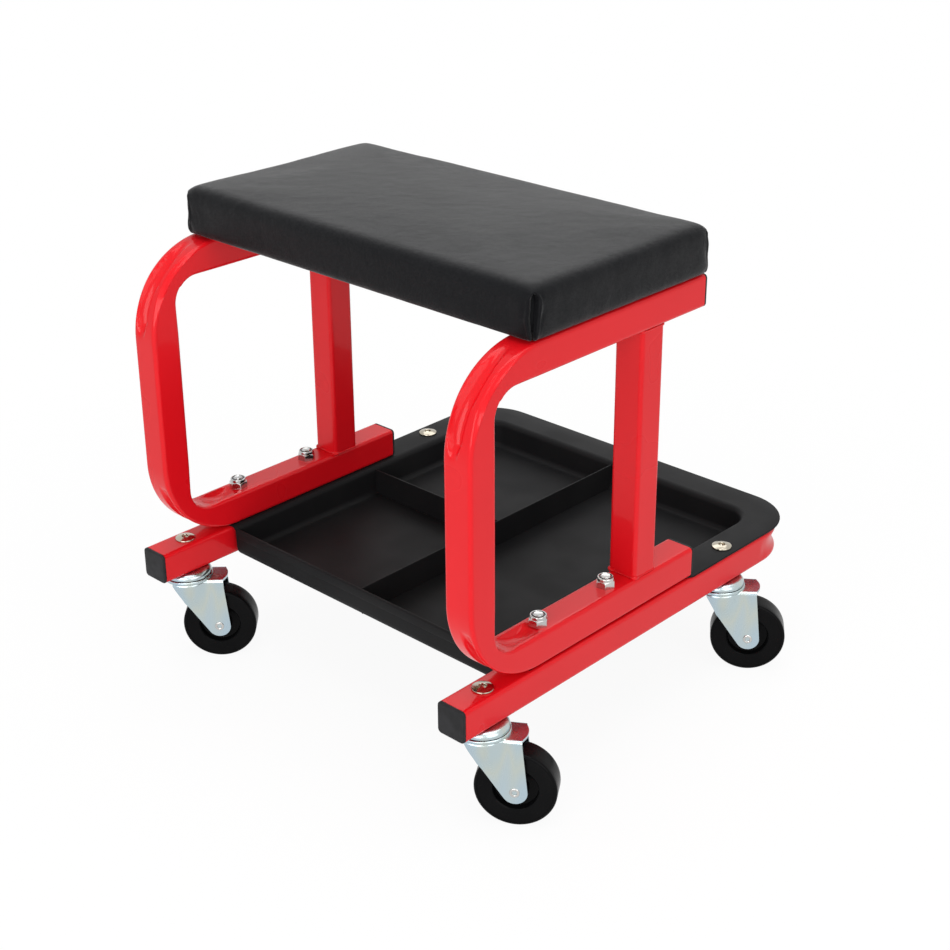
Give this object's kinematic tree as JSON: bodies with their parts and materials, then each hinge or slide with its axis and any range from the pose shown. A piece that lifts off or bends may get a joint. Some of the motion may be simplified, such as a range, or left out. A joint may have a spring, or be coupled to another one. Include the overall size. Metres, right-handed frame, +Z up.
{
  "type": "creeper seat",
  "caption": "Low rolling workshop seat: padded seat on two bent square-tube side frames over a divided tool tray, on a tube base with swivel casters.",
  "frame": {"origin": "on the floor that the wheels stand on, under the middle of the base's outline", "axes": "+Z up, -Y to the front where the two rails end in plugs, +X to the right of someone who looks along +Y from the front"},
  "size_m": [0.4017, 0.409, 0.394],
  "materials": {
    "frame_paint": "gloss red powder coat",
    "tray_paint": "satin black powder coat",
    "plug_plastic": "matte black moulded plastic",
    "vinyl": "satin black vinyl with a fine grain",
    "foam": "open-cell foam",
    "plywood": "raw plywood",
    "zinc_bolt": "bright zinc plate",
    "zinc_sheet": "pale blue zinc plate on pressed sheet",
    "nickel": "warm nickel plate",
    "nylon": "milky nylon",
    "ball_steel": "polished and greased",
    "bush_steel": "plain turned steel",
    "wheel_plastic": "hard black moulded plastic"
  },
  "bodies": {
    "frame": {"base_frame": "frame_paint", "rail_plug_left": "plug_plastic", "rail_plug_right": "plug_plastic", "tray": "tray_paint", "long_divider": "tray_paint", "short_divider": "tray_paint", "side_frame_left": "frame_paint", "side_frame_right": "frame_paint", "rear_post_left": "frame_paint", "rear_post_right": "frame_paint", "lower_leg_plug_left": "plug_plastic", "lower_leg_plug_right": "plug_plastic", "upper_leg_plug_left": "plug_plastic", "upper_leg_plug_right": "plug_plastic", "frame_bolts": "zinc_bolt", "frame_nuts": "zinc_bolt", "nut_locking_rings": "nylon", "seat_board": "plywood", "seat_foam": "foam", "seat_cover": "vinyl", "seat_bolts": "zinc_bolt", "seat_tee_nuts": "zinc_bolt", "cover_staples": "zinc_bolt", "stem_nuts": "nickel", "caster_stem_front_left": "zinc_bolt", "caster_stem_front_right": "zinc_bolt", "caster_stem_rear_left": "zinc_bolt", "caster_stem_rear_right": "zinc_bolt", "upper_race_front_left": "zinc_sheet", "upper_race_front_right": "zinc_sheet", "upper_race_rear_left": "zinc_sheet", "upper_race_rear_right": "zinc_sheet", "race_balls_front_left": "ball_steel", "race_balls_front_right": "ball_steel", "race_balls_rear_left": "ball_steel", "race_balls_rear_right": "ball_steel", "fork_washer_front_left": "zinc_bolt", "fork_washer_front_right": "zinc_bolt", "fork_washer_rear_left": "zinc_bolt", "fork_washer_rear_right": "zinc_bolt"},
    "caster_fork_front_left": {"fork_front_left": "zinc_sheet", "axle_front_left": "zinc_bolt", "axle_bush_front_left": "bush_steel"},
    "caster_wheel_front_left": {"wheel_front_left": "wheel_plastic"},
    "caster_fork_front_right": {"fork_front_right": "zinc_sheet", "axle_front_right": "zinc_bolt", "axle_bush_front_right": "bush_steel"},
    "caster_wheel_front_right": {"wheel_front_right": "wheel_plastic"},
    "caster_fork_rear_left": {"fork_rear_left": "zinc_sheet", "axle_rear_left": "zinc_bolt", "axle_bush_rear_left": "bush_steel"},
    "caster_wheel_rear_left": {"wheel_rear_left": "wheel_plastic"},
    "caster_fork_rear_right": {"fork_rear_right": "zinc_sheet", "axle_rear_right": "zinc_bolt", "axle_bush_rear_right": "bush_steel"},
    "caster_wheel_rear_right": {"wheel_rear_right": "wheel_plastic"}
  },
  "joints": [
    {"name": "swivel_front_left", "type": "hinge", "parent": "frame", "child": "caster_fork_front_left", "pos_m": [-0.1655, -0.172, 0.072], "axis": [0, 0, 1], "continuous": true},
    {"name": "roll_front_left", "type": "hinge", "parent": "caster_fork_front_left", "child": "caster_wheel_front_left", "pos_m": [-0.14788, -0.15498, 0.03], "axis": [0.6947, -0.7193, 0], "continuous": true},
    {"name": "swivel_front_right", "type": "hinge", "parent": "frame", "child": "caster_fork_front_right", "pos_m": [0.1655, -0.172, 0.072], "axis": [0, 0, 1], "continuous": true},
    {"name": "roll_front_right", "type": "hinge", "parent": "caster_fork_front_right", "child": "caster_wheel_front_right", "pos_m": [0.18605, -0.15866, 0.03], "axis": [0.5446, -0.8387, 0], "continuous": true},
    {"name": "swivel_rear_left", "type": "hinge", "parent": "frame", "child": "caster_fork_rear_left", "pos_m": [-0.1655, 0.109, 0.072], "axis": [0, 0, 1], "continuous": true},
    {"name": "roll_rear_left", "type": "hinge", "parent": "caster_fork_rear_left", "child": "caster_wheel_rear_left", "pos_m": [-0.14673, 0.12475, 0.03], "axis": [0.6428, -0.766, 0], "continuous": true},
    {"name": "swivel_rear_right", "type": "hinge", "parent": "frame", "child": "caster_fork_rear_right", "pos_m": [0.1655, 0.109, 0.072], "axis": [0, 0, 1], "continuous": true},
    {"name": "roll_rear_right", "type": "hinge", "parent": "caster_fork_rear_right", "child": "caster_wheel_rear_right", "pos_m": [0.18532, 0.1234, 0.03], "axis": [0.5878, -0.809, 0], "continuous": true}
  ]
}
